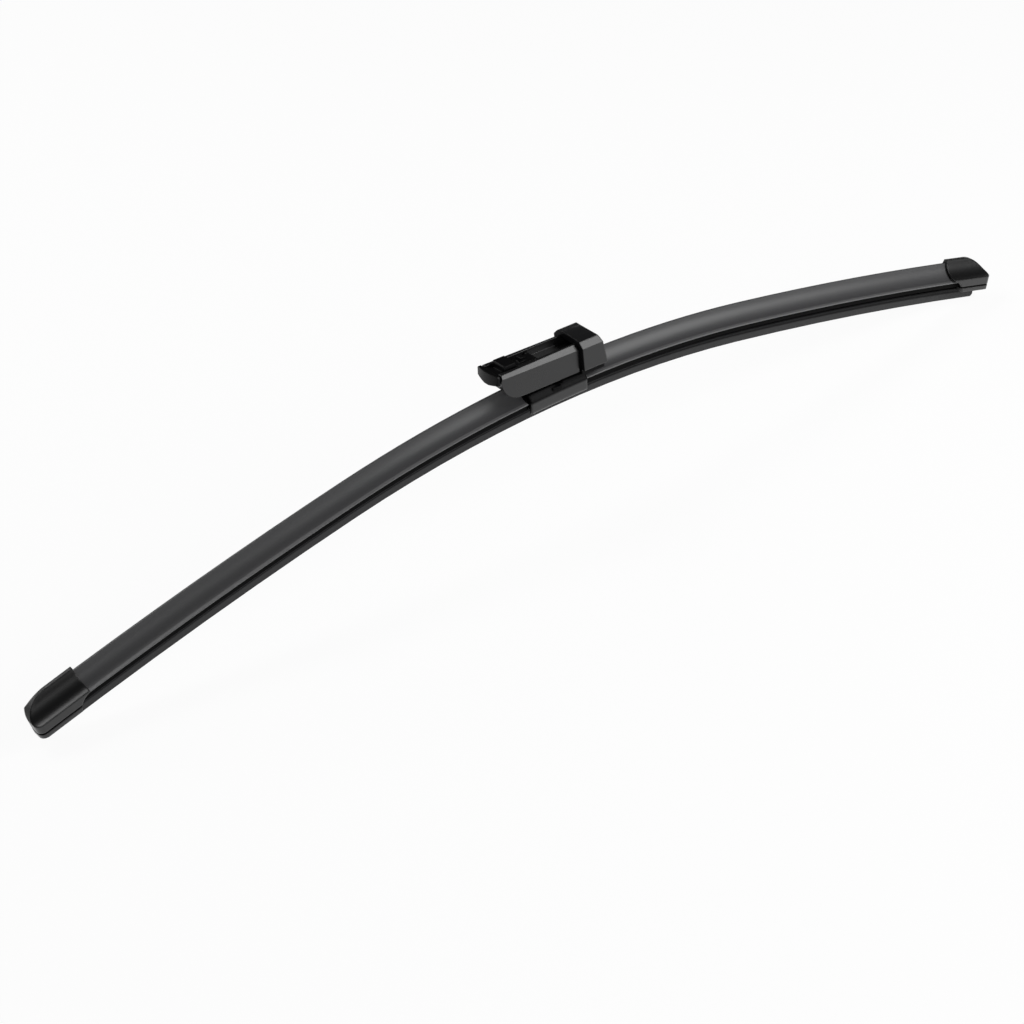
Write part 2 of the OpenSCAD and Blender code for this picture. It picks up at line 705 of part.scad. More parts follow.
// Moulded body of the adaptor: two cheeks, floors, bearing bosses and the tail in the rear cover
module adaptor_body() {
  color("#2a2a2b") at_pivot() difference() {
    union() {
      plate(-body_half, body_half) cheek_side();
      // tail that plugs into the rear cover
      translate([step_x - 1, -tail_half, rear_floor_bottom])
        cube([tail_back - step_x + 1, 2 * tail_half, floor_t]);
      both_sides() translate([step_x - 1, channel_y, rear_floor_bottom])
        cube([tail_back - step_x + 1, tail_half - channel_y, cheek_top - rear_floor_bottom - 1.6]);
    }
    both_sides() chamfer_waste();
    // open channel above the floors and the space below them
    translate([-cheek_front - 1, -channel_y, front_floor])
      cube([cheek_front + 1 + floor_step_x, 2 * channel_y, through]);
    translate([floor_step_x - 0.01, -channel_y, rear_floor_top])
      cube([step_x - floor_step_x + 0.02, 2 * channel_y, through]);
    translate([-cheek_front - 1, -skirt_y, -through])
      cube([cheek_front + 1 + floor_step_x - floor_t, 2 * skirt_y, through + front_floor - floor_t]);
    difference() {
      translate([floor_step_x - floor_t - 0.01, -skirt_y, -through])
        cube([through, 2 * skirt_y, through + rear_floor_bottom]);
      both_sides() bearing_boss();
    }
    // room behind the nose plate as the lever goes down
    translate([-cheek_front - 1, -channel_y, -through]) cube([2.2, 2 * channel_y, 2 * through]);
    // blind bearings for the pin, each with a mouth below that snaps over it
    both_sides() translate([0, bore_end, 0]) rotate([90, 0, 0])
      cylinder(r = pin_d / 2 + pin_play, h = bore_end - boss_face + 1, $fn = round_fn);
    both_sides() translate([-mouth_w / 2, boss_face - 1, -boss_radius - 1])
      cube([mouth_w, bore_end - boss_face + 1, boss_radius + 1]);
    // bearings for the latch lever's trunnions
    both_sides() translate([-hinge_x, trunnion_half + 0.1, hinge_z]) rotate([90, 0, 0])
      cylinder(r = trunnion_r + pin_play, h = trunnion_half, $fn = round_fn);
  }
}

// Side view of the rear cover's hood: raked step, leaning back, rounded top rear edge
module hood_side() {
  back_x = hood_back - hood_lean * (1 - hood_round / (hood_top + hood_drop));
  middle = [back_x - hood_round + 0.12, hood_top - hood_round];
  difference() {
    polygon([
      [step_x + step_rake, -hood_drop], [step_x, hood_top],
      [hood_back - hood_lean, hood_top], [hood_back, -hood_drop],
    ]);
    difference() {
      translate(middle) square([through, hood_round + 1]);
      translate(middle) circle(r = hood_round, $fn = round_fn);
    }
  }
}

// Section of the hood: crowned top with a slope along each edge
module hood_section() {
  intersection() {
    polygon([
      [-hood_half, guide_bottom - 1], [-hood_half, hood_top - hood_fall],
      [-hood_half + hood_chamfer, hood_top + 0.05], [hood_half - hood_chamfer, hood_top + 0.05],
      [hood_half, hood_top - hood_fall], [hood_half, guide_bottom - 1],
    ]);
    translate([0, hood_top - crown_radius]) circle(r = crown_radius, $fn = arc_fn);
  }
}

// Cover over the back of the adaptor, with guide rails that reach forward under the cheeks
module rear_cover() {
  cavity_top = cheek_top - 1.3;
  cavity_back = hood_back - hood_wall;
  color("#1b1b1d") at_pivot() difference() {
    union() {
      intersection() {
        plate(-hood_half, hood_half) hood_side();
        bar(step_x - 1, hood_back + 1) hood_section();
      }
      both_sides() {
        translate([step_x + step_rake, cheek_inner, guide_bottom])
          cube([hood_length - step_rake - 0.6, guide_half - cheek_inner, guide_slot + guide_t + 2]);
        translate([step_x - guide_length, cheek_inner, guide_bottom])
          cube([guide_length + step_rake + 1, guide_half - cheek_inner, guide_t]);
      }
    }
    // room for the body's tail and, below it, for the end of the spoiler
    plate(-cheek_inner, cheek_inner) polygon([
      [step_x - 1, -through], [step_x - 1, cavity_top], [cavity_back - hood_lean + 0.6, cavity_top],
      [cavity_back, -hood_drop], [cavity_back, -through],
    ]);
    translate([step_x, -cheek_inner, -through])
      cube([through, 2 * cheek_inner, through + rear_floor_bottom - 2]);
    // bevelled front corners of the guide rails
    translate([step_x - guide_length, 0, guide_bottom]) rotate([0, 45, 0])
      cube([1.2, through, 1.2], center = true);
  }
}

// Nose plate seen from the front
module nose_outline() {
  side_bottom = cheek_top - 4.4;
  tip = cheek_top - 5.9;
  polygon([
    [-body_half + 0.6, nose_top - 0.8], [-body_half + 1.4, nose_top], [body_half - 1.4, nose_top],
    [body_half - 0.6, nose_top - 0.8], [body_half - 0.6, side_bottom], [1.6, tip], [-1.6, tip],
    [-body_half + 0.6, side_bottom],
  ]);
}

// Latch lever: nose plate to press, locking button, stop lug and two trunnions
module latch_lever() {
  nose_back = -nose_front + nose_t;
  root_half = channel_y - run_gap;
  button_top = cheek_top + button_h;
  button_front = -button_x - button_length / 2;
  button_back = -button_x + button_length / 2;
  color("#141414") at_pivot() {
    intersection() {
      bar(-nose_front, nose_back) nose_outline();
      translate([nose_radius - nose_front, 0, -through / 2]) cylinder(r = nose_radius, h = through, $fn = arc_fn);
    }
    translate([nose_back - 0.5, -lever_half, lever_bottom])
      cube([nose_front - nose_t + 0.5 - hinge_x, lever_w, lever_t]);
    // root behind the nose plate, and the button that snaps into the arm's window
    translate([nose_back - 0.5, -root_half, lever_bottom]) cube([4.5, 2 * root_half, lever_t]);
    plate(-button_w / 2, button_w / 2) polygon([
      [button_front, lever_top - 0.5], [button_front + 0.3, button_top - 0.5],
      [button_front + 0.8, button_top], [button_back - 0.6, button_top], [button_back, lever_top - 0.5],
    ]);
    plate(-1.5, 1.5) polygon([
      [-lug_x - 0.6, lever_top - 0.5], [-lug_x, lever_top + lug_h],
      [-lug_x + lug_length - 1, lever_top + lug_h], [-lug_x + lug_length, lever_top - 0.5],
    ]);
    translate([-hinge_x, trunnion_half, hinge_z]) rotate([90, 0, 0])
      cylinder(r = trunnion_r, h = 2 * trunnion_half, $fn = round_fn);
  }
}

// Bowed leaf spring between the front floor and the latch lever
module latch_spring() {
  rise = lever_bottom - front_floor - 0.1;
  span = 14;
  outer = (span * span / 4 + rise * rise) / (2 * rise);
  color("silver") at_pivot() translate([-lug_x - 3, 0, front_floor + 0.05])
    intersection() {
      plate(-2, 2) translate([0, rise - outer]) difference() {
        circle(r = outer, $fn = 2 * round_fn);
        circle(r = outer - leaf_t, $fn = 2 * round_fn);
      }
      translate([-span, -3, 0]) cube([2 * span, 6, 2 * rise]);
    }
}

// Stands everything in the frame of the pivot
module in_frame() {
  translate([0, 0, -pivot_height]) children();
}

in_frame() squeegee();
in_frame() spring_rail(-1);  // spring_rail_front
in_frame() spring_rail(1);  // spring_rail_rear
in_frame() spoiler_left();
in_frame() spoiler_right();
in_frame() end_cap_left();
in_frame() end_cap_right();
in_frame() rail_clip(-1);  // rail_clip_left
in_frame() rail_clip(1);  // rail_clip_right
in_frame() bracket();
in_frame() bracket_cover();
in_frame() pivot_pin();
in_frame() spacer_sleeve();
in_frame() adaptor_body();
in_frame() rear_cover();
in_frame() latch_lever();
in_frame() latch_spring();
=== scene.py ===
import math

import bmesh
import bpy
from mathutils import Matrix, Vector


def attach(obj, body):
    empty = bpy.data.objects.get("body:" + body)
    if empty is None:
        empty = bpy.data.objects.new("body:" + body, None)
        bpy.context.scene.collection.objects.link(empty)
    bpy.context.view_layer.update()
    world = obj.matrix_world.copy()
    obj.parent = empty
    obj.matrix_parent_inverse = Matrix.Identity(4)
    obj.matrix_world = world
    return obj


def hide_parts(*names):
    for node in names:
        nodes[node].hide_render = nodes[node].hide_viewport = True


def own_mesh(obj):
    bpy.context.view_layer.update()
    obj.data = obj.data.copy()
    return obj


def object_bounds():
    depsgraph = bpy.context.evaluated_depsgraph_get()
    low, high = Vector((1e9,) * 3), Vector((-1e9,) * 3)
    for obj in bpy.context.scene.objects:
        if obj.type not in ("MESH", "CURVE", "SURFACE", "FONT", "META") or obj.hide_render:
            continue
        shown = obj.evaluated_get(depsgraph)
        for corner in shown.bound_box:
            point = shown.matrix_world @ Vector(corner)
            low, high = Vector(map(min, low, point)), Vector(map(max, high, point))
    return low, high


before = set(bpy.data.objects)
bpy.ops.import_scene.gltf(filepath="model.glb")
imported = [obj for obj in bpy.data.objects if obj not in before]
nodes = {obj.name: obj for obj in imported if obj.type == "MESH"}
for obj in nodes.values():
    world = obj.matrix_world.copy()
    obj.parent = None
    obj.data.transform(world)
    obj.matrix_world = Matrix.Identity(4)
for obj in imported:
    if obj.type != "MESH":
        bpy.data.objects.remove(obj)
cad_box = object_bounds()

# The view
# A long lens looks down on the windward side from the front left, with the blade
# rising from the lower left to the upper right. Lengths are in metres.
PICTURE = 1024
FOCAL_PIXELS = 2700
SENSOR_MM = 36
VIEW_AZIMUTH = math.radians(35.877)
VIEW_FALL = math.radians(33.633)
VIEW_ROLL = math.radians(-3.703)
VIEW_DISTANCE = 1.28888
VIEW_RIGHT = 0.019093
VIEW_UP = 0.06123
VIEW_DROP = 0.0105
SIGHT = 20

look = Vector((math.sin(VIEW_AZIMUTH) * math.cos(VIEW_FALL),
               math.cos(VIEW_AZIMUTH) * math.cos(VIEW_FALL),
               -math.sin(VIEW_FALL)))
level_right = look.cross(Vector((0, 0, 1))).normalized()
level_up = level_right.cross(look)
right = math.cos(VIEW_ROLL) * level_right + math.sin(VIEW_ROLL) * level_up
up = -math.sin(VIEW_ROLL) * level_right + math.cos(VIEW_ROLL) * level_up
aimed_at = Vector((0, 0, -VIEW_DROP)) - right * VIEW_RIGHT - up * VIEW_UP
eye = aimed_at - look * VIEW_DISTANCE

camera_data = bpy.data.cameras.new("view")
camera_data.sensor_width = SENSOR_MM
camera_data.lens = FOCAL_PIXELS / PICTURE * SENSOR_MM
camera_data.clip_end = SIGHT
camera = bpy.data.objects.new("view", camera_data)
turn = Matrix((right, up, -look)).transposed().to_4x4()
camera.matrix_world = Matrix.Translation(eye) @ turn
bpy.context.collection.objects.link(camera)
scene = bpy.context.scene
scene.camera = camera
scene.view_settings.view_transform = "Standard"

# The studio
# A white sweep of paper under and behind the blade, which rests on the two ends of
# its lip, and large soft lamps in front of and above the windward side.
FLOOR_SIZE = 6
FLOOR_GAP = 0.0004
PAPER_WHITE = (0.93, 0.93, 0.93, 1)
PAPER_GLOW = 0.93
ROOM_WHITE = (1, 1, 1, 1)
ROOM_LIGHT = 0.05
LAMPS = [
    # name, place, aimed at, width, height, watts
    ("key", (0.68, -0.7, 0.56), (0.1, 0, 0), 0.7, 0.9, 10.4),
    ("front_fill", (-0.75, -1.5, 0.75), (-0.1, 0, 0), 1.0, 0.7, 6.8),
    ("back_soft", (-0.35, 0.75, 1.0), (-0.15, 0, 0), 0.8, 0.5, 6),
    ("back_fill", (-0.8, 1.4, 0.4), (0, 0, 0), 1.0, 0.6, 6),
]

floor_mesh = bpy.data.meshes.new("paper_sweep")
shape = bmesh.new()
bmesh.ops.create_grid(shape, x_segments=1, y_segments=1, size=FLOOR_SIZE / 2)
bmesh.ops.translate(shape, verts=shape.verts, vec=(0, 0, cad_box[0][2] - FLOOR_GAP))
shape.to_mesh(floor_mesh)
shape.free()
paper_sweep = bpy.data.objects.new("paper_sweep", floor_mesh)
bpy.context.collection.objects.link(paper_sweep)

# The lens and the blade's gloss see an even white, and the lamps light the rest
paper = bpy.data.materials.new("white_paper")
paper.use_nodes = True
tree = paper.node_tree
tree.nodes.clear()
dull = tree.nodes.new("ShaderNodeBsdfDiffuse")
dull.inputs["Color"].default_value = PAPER_WHITE
white = tree.nodes.new("ShaderNodeEmission")
white.inputs["Color"].default_value = ROOM_WHITE
seen = tree.nodes.new("ShaderNodeLightPath")
blend = tree.nodes.new("ShaderNodeMixShader")
either = tree.nodes.new("ShaderNodeMath")
either.operation = "MAXIMUM"
share = tree.nodes.new("ShaderNodeMath")
share.operation = "MULTIPLY"
share.inputs[1].default_value = PAPER_GLOW
output = tree.nodes.new("ShaderNodeOutputMaterial")
tree.links.new(seen.outputs["Is Camera Ray"], either.inputs[0])
tree.links.new(seen.outputs["Is Glossy Ray"], either.inputs[1])
tree.links.new(either.outputs[0], share.inputs[0])
tree.links.new(share.outputs[0], blend.inputs["Fac"])
tree.links.new(dull.outputs[0], blend.inputs[1])
tree.links.new(white.outputs[0], blend.inputs[2])

# Seen from below, the paper is clear
clear = tree.nodes.new("ShaderNodeBsdfTransparent")
side = tree.nodes.new("ShaderNodeNewGeometry")
sheet = tree.nodes.new("ShaderNodeMixShader")
tree.links.new(side.outputs["Backfacing"], sheet.inputs["Fac"])
tree.links.new(blend.outputs[0], sheet.inputs[1])
tree.links.new(clear.outputs[0], sheet.inputs[2])
tree.links.new(sheet.outputs[0], output.inputs["Surface"])
paper_sweep.data.materials.append(paper)

for name, place, target, width, height, watts in LAMPS:
    lamp_data = bpy.data.lights.new(name, "AREA")
    lamp_data.shape = "RECTANGLE"
    lamp_data.size = width
    lamp_data.size_y = height
    lamp_data.energy = watts
    lamp = bpy.data.objects.new(name, lamp_data)
    lamp.location = place
    lamp.rotation_euler = (Vector(target) - Vector(place)).to_track_quat("-Z", "Y").to_euler()
    bpy.context.collection.objects.link(lamp)

world = bpy.data.worlds.new("white_room")
world.use_nodes = True
scene.world = world
tree = world.node_tree
room = tree.nodes["Background"]
room.inputs["Color"].default_value = ROOM_WHITE
seen = tree.nodes.new("ShaderNodeLightPath")
strength = tree.nodes.new("ShaderNodeMapRange")
strength.inputs["To Min"].default_value = ROOM_LIGHT
tree.links.new(seen.outputs["Is Camera Ray"], strength.inputs["Value"])
tree.links.new(strength.outputs["Result"], room.inputs["Strength"])

# The squeegee
# One extruded strip of natural rubber, which hangs by its head from the two rails. It
# is dull black, and the wiping lip has a grey coat of graphite. The black, without sheen,
# reaches down over the top of the lip as painted shade under the claws.
RUBBER_BLACK = (0.006, 0.006, 0.0065, 1)
GRAPHITE_GREY = (0.027, 0.027, 0.0278, 1)
# Where the painted shade under the claws ends, just below the top of the lip
SHADE_TO_GRAPHITE_EDGE = -0.0077
SHADE_TO_GRAPHITE_FADE = 0.0008
GRAPHITE_COAT = 0.46
RUBBER_SHEEN = 0.42
FAINT_GLOSS = 0.04
ALONG_THE_BLADE = (0.02, 1, 0.05)

# What every finish shares
NOISE_DETAIL = 2
NOISE_MIDDLE = 0.5
CLOUD_FINENESS = 60
GLOSS_SPREAD = 0.1
RELIEF_STRENGTH = 0.6
RELIEF_DEPTH = 0.00004
EDGE_SAMPLES = 6
SHEEN_INDEX = 1.5

# The bow that bands of colour follow, and how far above and below the rails they reach
BOW_RADIUS = 0.65
OUTER_RADIUS = 2.1
BOW_HALF = 0.12
RAILS_DEPTH = 0.012
BAND_REACH = 0.012


def fine_grain_group():
    """Fine grain of a mould or an extrusion: a height, and a gloss that changes slowly."""
    group = bpy.data.node_groups.new("fine_grain", "ShaderNodeTree")
    for label in ("Fineness", "Depth", "Roughness", "Spread"):
        group.interface.new_socket(label, in_out="INPUT", socket_type="NodeSocketFloat")
    group.interface.new_socket("Stretch", in_out="INPUT", socket_type="NodeSocketVector")
    group.interface.new_socket("Height", in_out="OUTPUT", socket_type="NodeSocketFloat")
    group.interface.new_socket("Roughness", in_out="OUTPUT", socket_type="NodeSocketFloat")
    given = group.nodes.new("NodeGroupInput")
    result = group.nodes.new("NodeGroupOutput")
    place = group.nodes.new("ShaderNodeTexCoord")
    stretch = group.nodes.new("ShaderNodeVectorMath")
    stretch.operation = "MULTIPLY"
    grain = group.nodes.new("ShaderNodeTexNoise")
    grain.inputs["Detail"].default_value = NOISE_DETAIL
    cloud = group.nodes.new("ShaderNodeTexNoise")
    cloud.inputs["Scale"].default_value = CLOUD_FINENESS
    cloud.inputs["Detail"].default_value = NOISE_DETAIL
    height = group.nodes.new("ShaderNodeMath")
    height.operation = "MULTIPLY"
    swing = group.nodes.new("ShaderNodeMath")
    swing.operation = "SUBTRACT"
    swing.inputs[1].default_value = NOISE_MIDDLE
    gloss = group.nodes.new("ShaderNodeMath")
    gloss.operation = "MULTIPLY_ADD"
    links = group.links
    links.new(place.outputs["Object"], stretch.inputs[0])
    links.new(given.outputs["Stretch"], stretch.inputs[1])
    links.new(stretch.outputs[0], grain.inputs["Vector"])
    links.new(given.outputs["Fineness"], grain.inputs["Scale"])
    links.new(place.outputs["Object"], cloud.inputs["Vector"])
    links.new(grain.outputs["Fac"], height.inputs[0])
    links.new(given.outputs["Depth"], height.inputs[1])
    links.new(cloud.outputs["Fac"], swing.inputs[0])
    links.new(swing.outputs[0], gloss.inputs[0])
    links.new(given.outputs["Spread"], gloss.inputs[1])
    links.new(given.outputs["Roughness"], gloss.inputs[2])
    links.new(height.outputs[0], result.inputs["Height"])
    links.new(gloss.outputs[0], result.inputs["Roughness"])
    return group


fine_grain = fine_grain_group()


def height_group():
    """Height above the top of the spring rails at any place along the bow.

    The bow is an arc in the middle and flatter arcs, tangent to it, at both ends."""
    knee = BOW_HALF / BOW_RADIUS
    bow_centre = (0, 0, -RAILS_DEPTH - BOW_RADIUS)
    outer_centre = ((BOW_RADIUS - OUTER_RADIUS) * math.sin(knee), 0,
                    -RAILS_DEPTH - BOW_RADIUS
                    + (BOW_RADIUS - OUTER_RADIUS) * math.cos(knee))
    group = bpy.data.node_groups.new("height_above_rails", "ShaderNodeTree")
    group.interface.new_socket("Height", in_out="OUTPUT", socket_type="NodeSocketFloat")
    result = group.nodes.new("NodeGroupOutput")
    place = group.nodes.new("ShaderNodeTexCoord")
    parts = group.nodes.new("ShaderNodeSeparateXYZ")
    mirrored = group.nodes.new("ShaderNodeMath")
    mirrored.operation = "ABSOLUTE"
    flat = group.nodes.new("ShaderNodeCombineXYZ")
    links = group.links
    links.new(place.outputs["Object"], parts.inputs[0])
    links.new(parts.outputs["X"], mirrored.inputs[0])
    links.new(mirrored.outputs[0], flat.inputs["X"])
    links.new(parts.outputs["Z"], flat.inputs["Z"])
    heights = []
    for radius, middle in ((BOW_RADIUS, bow_centre), (OUTER_RADIUS, outer_centre)):
        away = group.nodes.new("ShaderNodeVectorMath")
        away.operation = "DISTANCE"
        away.inputs[1].default_value = middle
        links.new(flat.outputs[0], away.inputs[0])
        height = group.nodes.new("ShaderNodeMath")
        height.operation = "SUBTRACT"
        height.inputs[1].default_value = radius
        links.new(away.outputs["Value"], height.inputs[0])
        heights.append(height)
    beyond = group.nodes.new("ShaderNodeMath")
    beyond.operation = "GREATER_THAN"
    beyond.inputs[1].default_value = BOW_RADIUS * math.sin(knee)
    choice = group.nodes.new("ShaderNodeMix")
    links.new(mirrored.outputs[0], beyond.inputs[0])
    links.new(beyond.outputs[0], choice.inputs["Factor"])
    links.new(heights[0].outputs[0], choice.inputs["A"])
    links.new(heights[1].outputs[0], choice.inputs["B"])
    links.new(choice.outputs["Result"], result.inputs["Height"])
    return group


height_above_rails = height_group()


def band(material, edges, colours, coats, sheen, bowed=True):
    """Changes a material's colour and sheen at given heights, from the bottom up.

    Each edge is a height and the depth over which one value turns into the next.
    Heights count from the top of the bowed rails, or else level from the pivot."""
    tree = material.node_tree
    surface = tree.nodes["Principled BSDF"]
    if bowed:
        measured = tree.nodes.new("ShaderNodeGroup")
        measured.node_tree = height_above_rails
        height = measured.outputs["Height"]
    else:
        place = tree.nodes.new("ShaderNodeTexCoord")
        parts = tree.nodes.new("ShaderNodeSeparateXYZ")
        tree.links.new(place.outputs["Object"], parts.inputs[0])
        height = parts.outputs["Z"]
    rising = tree.nodes.new("ShaderNodeMapRange")
    rising.inputs["From Min"].default_value = -BAND_REACH
    rising.inputs["From Max"].default_value = BAND_REACH
    tree.links.new(height, rising.inputs["Value"])
    weights = [(coat, coat, coat, 1) for coat in coats]
    for socket, values in (("Base Color", colours), ("Coat Weight", weights)):
        stops = [(-BAND_REACH, values[0])]
        for (middle, depth), below, above in zip(edges, values, values[1:]):
            stops += [(middle - depth / 2, below), (middle + depth / 2, above)]
        steps = tree.nodes.new("ShaderNodeValToRGB")
        ramp = steps.color_ramp.elements
        while len(ramp) < len(stops):
            ramp.new(0.5)
        for element, (start, value) in zip(ramp, stops):
            element.position = (start + BAND_REACH) / (2 * BAND_REACH)
            element.color = value
        tree.links.new(rising.outputs["Result"], steps.inputs["Fac"])
        tree.links.new(steps.outputs["Color"], surface.inputs[socket])
    surface.inputs["Coat Roughness"].default_value = sheen
    surface.inputs["Coat IOR"].default_value = SHEEN_INDEX


def finish_material(name, colour, rough, specular=0.5, metallic=0.0, fineness=3000,
                    depth=0.5, stretch=(1, 1, 1), edge=0.00015):
    """A surface with fine grain, under whose gloss the edges look slightly rounded."""
    made = bpy.data.materials.new(name)
    made.use_nodes = True
    tree = made.node_tree
    surface = tree.nodes["Principled BSDF"]
    surface.inputs["Base Color"].default_value = colour
    surface.inputs["Metallic"].default_value = metallic
    surface.inputs["Specular IOR Level"].default_value = specular
    grained = tree.nodes.new("ShaderNodeGroup")
    grained.node_tree = fine_grain
    grained.inputs["Fineness"].default_value = fineness
    grained.inputs["Depth"].default_value = depth
    grained.inputs["Roughness"].default_value = rough
    grained.inputs["Spread"].default_value = GLOSS_SPREAD
    grained.inputs["Stretch"].default_value = stretch
    rounded = tree.nodes.new("ShaderNodeBevel")
    rounded.samples = EDGE_SAMPLES
    rounded.inputs["Radius"].default_value = edge
    relief = tree.nodes.new("ShaderNodeBump")
    relief.inputs["Strength"].default_value = RELIEF_STRENGTH
    relief.inputs["Distance"].default_value = RELIEF_DEPTH
    tree.links.new(rounded.outputs["Normal"], relief.inputs["Normal"])
    tree.links.new(grained.outputs["Height"], relief.inputs["Height"])
    tree.links.new(grained.outputs["Roughness"], surface.inputs["Roughness"])
    tree.links.new(relief.outputs["Normal"], surface.inputs["Normal"])
    tree.links.new(rounded.outputs["Normal"], surface.inputs["Coat Normal"])
    return made


def dress(name, material):
    """Gives a solid its finish."""
    mesh = nodes[name].data
    mesh.materials.clear()
    mesh.materials.append(material)


wiping_rubber = finish_material("wiping_rubber", RUBBER_BLACK, rough=0.5,
                                specular=FAINT_GLOSS, fineness=2500,
                                stretch=ALONG_THE_BLADE, edge=0.0001)
# Painted shade: the rubber is black without sheen from just below the top of the lip up
band(wiping_rubber, ((SHADE_TO_GRAPHITE_EDGE, SHADE_TO_GRAPHITE_FADE),),
     (GRAPHITE_GREY, RUBBER_BLACK), (GRAPHITE_COAT, 0), RUBBER_SHEEN)
dress("squeegee", wiping_rubber)

# The spring rails
# Two flat strips of spring steel with a thin dark coat against rust. They lie in the
# grooves of the rubber and give the blade its bow.
RAIL_GREY = (0.035, 0.036, 0.038, 1)
spring_steel = finish_material("spring_steel", RAIL_GREY, rough=0.42, metallic=0.6,
                               fineness=1500, depth=0.2,
                               stretch=ALONG_THE_BLADE, edge=0.0001)
dress("spring_rail_front", spring_steel)
dress("spring_rail_rear", spring_steel)

# The spoiler
# Two lengths of one extruded section of thermoplastic rubber, hollow on the windward
# side. Its claws clip around the rails, and a bead runs along its foot. The claws are
# painted near black as shade under the foot, and the bead is painted paler as a highlight.
SPOILER_BLACK = (0.048, 0.048, 0.0496, 1)
CLAW_PAINTED_SHADE = (0.003, 0.003, 0.003, 1)
BEAD_PAINTED_HIGHLIGHT = (0.095, 0.095, 0.097, 1)
BEAD_BOTTOM = 0.00075
BEAD_TOP = 0.00175
SHARP = 0.00003
HOLLOW_COAT = 0.86
SPOILER_SHEEN = 0.42
spoiler_rubber = finish_material("spoiler_rubber", SPOILER_BLACK, rough=0.6,
                                 specular=FAINT_GLOSS, fineness=2600, depth=0.35,
                                 stretch=ALONG_THE_BLADE, edge=0.0002)
# From the bottom up: painted shade on the claws, a painted highlight on the bead, the hollow
# face
band(spoiler_rubber, ((BEAD_BOTTOM, SHARP), (BEAD_TOP, SHARP)),
     (CLAW_PAINTED_SHADE, BEAD_PAINTED_HIGHLIGHT, SPOILER_BLACK), (0, 1, HOLLOW_COAT), SPOILER_SHEEN)
dress("spoiler_left", spoiler_rubber)
dress("spoiler_right", spoiler_rubber)

# The end caps
# Moulded plastic caps with a fine spark-eroded grain, pushed over the ends of the
# spoiler, the rails and the rubber. A crease runs around the lower part of each, painted
# near black as shade, and the skirt below the foot is painted lighter than the hollow
# face above, as lit.
CAP_BLACK = (0.004, 0.004, 0.0042, 1)
SKIRT_PAINTED_LIGHT = (0.016, 0.016, 0.0164, 1)
CREASE_PAINTED_SHADE = (0.002, 0.002, 0.002, 1)
CREASE_BOTTOM = -0.0022
CREASE_TOP = -0.0012
SKIRT_TOP = 0.0029
SKIRT_FADE = 0.0012
CAP_COAT = 0.7
CAP_SHEEN = 0.36
cap_plastic = finish_material("cap_plastic", CAP_BLACK, rough=0.4, specular=FAINT_GLOSS,
                              fineness=5200, edge=0.0012)
# From the bottom up: painted light on the skirt, painted shade in the crease, the hollow face
band(cap_plastic, ((CREASE_BOTTOM, SHARP), (CREASE_TOP, SHARP), (SKIRT_TOP, SKIRT_FADE)),
     (SKIRT_PAINTED_LIGHT, CREASE_PAINTED_SHADE, SKIRT_PAINTED_LIGHT, CAP_BLACK), (1, 0, 1, CAP_COAT), CAP_SHEEN)
dress("end_cap_left", cap_plastic)
dress("end_cap_right", cap_plastic)

# The rail clips
# Small clips of plated steel, folded around both rails and the head of the rubber. They
# sit inside the caps and keep the ends of the rails together.
PLATED_GREY = (0.42, 0.43, 0.44, 1)
plated_steel = finish_material("plated_steel", PLATED_GREY, rough=0.34, metallic=1.0,
                               fineness=2200, depth=0.2, edge=0.0001)
dress("rail_clip_left", plated_steel)
dress("rail_clip_right", plated_steel)

# The bracket
# A steel pressing with a black coat, whose claws are crimped around the rails in the
# middle of the blade. Its two ears carry the pin.
COATED_BLACK = (0.012, 0.012, 0.0125, 1)
coated_steel = finish_material("coated_steel", COATED_BLACK, rough=0.38,
                               fineness=1800, depth=0.3, edge=0.0003)
dress("bracket", coated_steel)

# The bracket's cover
# A moulded cover of the same plastic as the end caps, snapped over the bracket. Its
# rolled lower edges are painted lighter as lit, and its flanks are painted near black,
# with little sheen, as shade under the adaptor.
ROLL_PAINTED_LIGHT = (0.016, 0.016, 0.0165, 1)
FLANK_PAINTED_SHADE = (0.0025, 0.0025, 0.0027, 1)
ROLL_TOP = 0.0008
ROLL_FADE = 0.0012
FLANK_SHADE_COAT = 0.06
clip_plastic = finish_material("clip_plastic", CAP_BLACK, rough=0.5, specular=FAINT_GLOSS,
                               fineness=5200, edge=0.0018)
# Painted light on the rolled lower edges, painted shade on the flanks above them
band(clip_plastic, ((ROLL_TOP, ROLL_FADE),),
     (ROLL_PAINTED_LIGHT, FLANK_PAINTED_SHADE), (1, FLANK_SHADE_COAT), CAP_SHEEN)
dress("bracket_cover", clip_plastic)

# The pivot pin and its sleeve
# A turned and plated steel pin through the ears of the bracket, and a sleeve of undyed
# plastic around it that keeps them apart.
SLEEVE_IVORY = (0.58, 0.55, 0.47, 1)
natural_plastic = finish_material("natural_plastic", SLEEVE_IVORY, rough=0.4, depth=0.2)
dress("pivot_pin", plated_steel)
dress("spacer_sleeve", natural_plastic)

# The adaptor's body
# A glass-filled moulding with an even matt grain. The wiper arm slides over its two
# cheeks, and the bearings inside them snap over the pin.
BODY_BLACK = (0.0065, 0.0065, 0.0069, 1)
adaptor_plastic = finish_material("adaptor_plastic", BODY_BLACK, rough=0.28,
                                  specular=0.52, fineness=4800, edge=0.0005)
dress("adaptor_body", adaptor_plastic)

